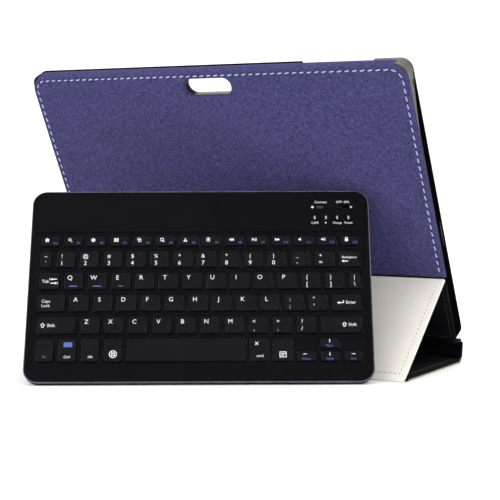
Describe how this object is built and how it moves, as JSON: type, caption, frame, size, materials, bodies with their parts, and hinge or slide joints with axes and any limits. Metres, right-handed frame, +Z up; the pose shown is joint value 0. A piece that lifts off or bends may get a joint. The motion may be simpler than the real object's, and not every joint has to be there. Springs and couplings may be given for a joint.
{
  "type": "tablet keyboard case",
  "caption": "Folding tablet case standing on its own cover, with a canvas back panel, a cream stand flap and a slim detachable keyboard leaning against it.",
  "frame": {"origin": "on the floor at the middle of the standing case's and keyboard's footprint", "axes": "+Z up, +X along the case's width to the right seen from behind, -Y the back, where the canvas panel and the keyboard face"},
  "size_m": [0.304, 0.2318, 0.2114],
  "materials": {
    "canvas": "woven canvas",
    "board": "grey board",
    "frame_gloss": "glossy, dark brown-black",
    "collar": "satin",
    "shell_black": "satin",
    "black_leather": "fine grain",
    "cream_leather": "fine grain",
    "microfibre": "napped",
    "magnet": "plated",
    "keyboard_plastic": "fine texture",
    "key_plastic": "satin",
    "sheet_steel": "plain",
    "membrane": "film",
    "battery_pouch": "foil pouch",
    "pcb": "solder mask",
    "light_pipe": "clear",
    "rubber": "matte"
  },
  "bodies": {
    "tray": {"back_canvas": "canvas", "back_board": "board", "slot_collar": "collar", "tray_back": "shell_black", "tray_lining": "microfibre", "holder_frame": "frame_gloss", "lower_back_panel": "black_leather", "ledge_magnets": "magnet", "hinge_tab": "black_leather"},
    "spine": {"spine_skin": "cream_leather", "spine_board": "board", "spine_lining": "black_leather"},
    "base": {"base_skin": "cream_leather", "base_board": "board", "base_lining": "black_leather"},
    "flap": {"flap_skin": "cream_leather", "flap_board": "board", "flap_lining": "black_leather", "flap_magnets": "magnet"},
    "keyboard": {"keyboard_deck": "keyboard_plastic", "keyboard_shell": "keyboard_plastic", "backing_plate": "sheet_steel", "key_membrane": "membrane", "battery": "battery_pouch", "circuit_board": "pcb", "charging_port": "sheet_steel", "indicator_lights": "light_pipe", "rubber_feet": "rubber", "keyboard_screws": "sheet_steel"},
    "switch_slider": {"power_switch": "key_plastic"},
    "connect_cap": {"connect_button": "key_plastic"},
    "key_tilde": {"key_tilde": "key_plastic"},
    "key_backspace": {"key_backspace": "key_plastic"},
    "key_tab": {"key_tab": "key_plastic"},
    "key_backslash": {"key_backslash": "key_plastic"},
    "key_caps": {"key_caps": "key_plastic"},
    "key_enter": {"key_enter": "key_plastic"},
    "key_shift_left": {"key_shift_left": "key_plastic"},
    "key_shift_right": {"key_shift_right": "key_plastic"},
    "key_fn": {"key_fn": "key_plastic"},
    "key_ctrl": {"key_ctrl": "key_plastic"},
    "key_alt": {"key_alt": "key_plastic"},
    "key_system": {"key_system": "key_plastic"},
    "key_space": {"key_space": "key_plastic"},
    "key_command": {"key_command": "key_plastic"},
    "key_menu": {"key_menu": "key_plastic"},
    "key_left": {"key_left": "key_plastic"},
    "key_up": {"key_up": "key_plastic"},
    "key_down": {"key_down": "key_plastic"},
    "key_right": {"key_right": "key_plastic"},
    "keys_function": {"keys_function": "key_plastic"},
    "keys_digits": {"keys_digits": "key_plastic"},
    "keys_upper": {"keys_upper": "key_plastic"},
    "keys_home": {"keys_home": "key_plastic"},
    "keys_lower": {"keys_lower": "key_plastic"}
  },
  "joints": [
    {"name": "cover_swing", "type": "hinge", "parent": "tray", "child": "spine", "pos_m": [0, 0.11457, 0.01602], "axis": [1, 0, 0], "range_deg": [0, 123.7]},
    {"name": "cover_fold_foot", "type": "hinge", "parent": "spine", "child": "base", "pos_m": [0, 0.11263, 0.0015], "axis": [1, 0, 0], "range_deg": [0, 172.6]},
    {"name": "cover_fold_heel", "type": "hinge", "parent": "base", "child": "flap", "pos_m": [0, 0.01009, 0], "axis": [1, 0, 0], "range_deg": [0, 139]},
    {"name": "detach_keyboard", "type": "slide", "parent": "tray", "child": "keyboard", "axis": [0.4304, -0.7515, 0.5], "range_m": [0, 0.15]},
    {"name": "connect_button", "type": "slide", "parent": "keyboard", "child": "connect_cap", "axis": [-0.4428, 0.7732, -0.454], "range_m": [0, 0.0008], "stiffness_N_per_m": 800},
    {"name": "power_switch", "type": "slide", "parent": "keyboard", "child": "switch_slider", "axis": [0.8678, 0.497, 0], "range_m": [0, 0.004]},
    {"name": "key_tilde", "type": "slide", "parent": "keyboard", "child": "key_tilde", "axis": [-0.4428, 0.7732, -0.454], "range_m": [0, 0.0012], "stiffness_N_per_m": 450},
    {"name": "key_backspace", "type": "slide", "parent": "keyboard", "child": "key_backspace", "axis": [-0.4428, 0.7732, -0.454], "range_m": [0, 0.0012], "stiffness_N_per_m": 450},
    {"name": "key_tab", "type": "slide", "parent": "keyboard", "child": "key_tab", "axis": [-0.4428, 0.7732, -0.454], "range_m": [0, 0.0012], "stiffness_N_per_m": 450},
    {"name": "key_backslash", "type": "slide", "parent": "keyboard", "child": "key_backslash", "axis": [-0.4428, 0.7732, -0.454], "range_m": [0, 0.0012], "stiffness_N_per_m": 450},
    {"name": "key_caps", "type": "slide", "parent": "keyboard", "child": "key_caps", "axis": [-0.4428, 0.7732, -0.454], "range_m": [0, 0.0012], "stiffness_N_per_m": 450},
    {"name": "key_enter", "type": "slide", "parent": "keyboard", "child": "key_enter", "axis": [-0.4428, 0.7732, -0.454], "range_m": [0, 0.0012], "stiffness_N_per_m": 450},
    {"name": "key_shift_left", "type": "slide", "parent": "keyboard", "child": "key_shift_left", "axis": [-0.4428, 0.7732, -0.454], "range_m": [0, 0.0012], "stiffness_N_per_m": 450},
    {"name": "key_shift_right", "type": "slide", "parent": "keyboard", "child": "key_shift_right", "axis": [-0.4428, 0.7732, -0.454], "range_m": [0, 0.0012], "stiffness_N_per_m": 450},
    {"name": "key_fn", "type": "slide", "parent": "keyboard", "child": "key_fn", "axis": [-0.4428, 0.7732, -0.454], "range_m": [0, 0.0012], "stiffness_N_per_m": 450},
    {"name": "key_ctrl", "type": "slide", "parent": "keyboard", "child": "key_ctrl", "axis": [-0.4428, 0.7732, -0.454], "range_m": [0, 0.0012], "stiffness_N_per_m": 450},
    {"name": "key_alt", "type": "slide", "parent": "keyboard", "child": "key_alt", "axis": [-0.4428, 0.7732, -0.454], "range_m": [0, 0.0012], "stiffness_N_per_m": 450},
    {"name": "key_system", "type": "slide", "parent": "keyboard", "child": "key_system", "axis": [-0.4428, 0.7732, -0.454], "range_m": [0, 0.0012], "stiffness_N_per_m": 450},
    {"name": "key_space", "type": "slide", "parent": "keyboard", "child": "key_space", "axis": [-0.4428, 0.7732, -0.454], "range_m": [0, 0.0012], "stiffness_N_per_m": 450},
    {"name": "key_command", "type": "slide", "parent": "keyboard", "child": "key_command", "axis": [-0.4428, 0.7732, -0.454], "range_m": [0, 0.0012], "stiffness_N_per_m": 450},
    {"name": "key_menu", "type": "slide", "parent": "keyboard", "child": "key_menu", "axis": [-0.4428, 0.7732, -0.454], "range_m": [0, 0.0012], "stiffness_N_per_m": 450},
    {"name": "key_left", "type": "slide", "parent": "keyboard", "child": "key_left", "axis": [-0.4428, 0.7732, -0.454], "range_m": [0, 0.0012], "stiffness_N_per_m": 450},
    {"name": "key_up", "type": "slide", "parent": "keyboard", "child": "key_up", "axis": [-0.4428, 0.7732, -0.454], "range_m": [0, 0.0012], "stiffness_N_per_m": 450},
    {"name": "key_down", "type": "slide", "parent": "keyboard", "child": "key_down", "axis": [-0.4428, 0.7732, -0.454], "range_m": [0, 0.0012], "stiffness_N_per_m": 450},
    {"name": "key_right", "type": "slide", "parent": "keyboard", "child": "key_right", "axis": [-0.4428, 0.7732, -0.454], "range_m": [0, 0.0012], "stiffness_N_per_m": 450},
    {"name": "keys_function", "type": "slide", "parent": "keyboard", "child": "keys_function", "axis": [-0.4428, 0.7732, -0.454], "range_m": [0, 0.0012], "stiffness_N_per_m": 3000},
    {"name": "keys_digits", "type": "slide", "parent": "keyboard", "child": "keys_digits", "axis": [-0.4428, 0.7732, -0.454], "range_m": [0, 0.0012], "stiffness_N_per_m": 3000},
    {"name": "keys_upper", "type": "slide", "parent": "keyboard", "child": "keys_upper", "axis": [-0.4428, 0.7732, -0.454], "range_m": [0, 0.0012], "stiffness_N_per_m": 3000},
    {"name": "keys_home", "type": "slide", "parent": "keyboard", "child": "keys_home", "axis": [-0.4428, 0.7732, -0.454], "range_m": [0, 0.0012], "stiffness_N_per_m": 3000},
    {"name": "keys_lower", "type": "slide", "parent": "keyboard", "child": "keys_lower", "axis": [-0.4428, 0.7732, -0.454], "range_m": [0, 0.0012], "stiffness_N_per_m": 3000}
  ],
  "couplings": [
    {"joint": "cover_fold_foot", "follows": "cover_swing", "ratio": 1.3936},
    {"joint": "cover_fold_heel", "follows": "cover_swing", "ratio": 1.1214}
  ]
}
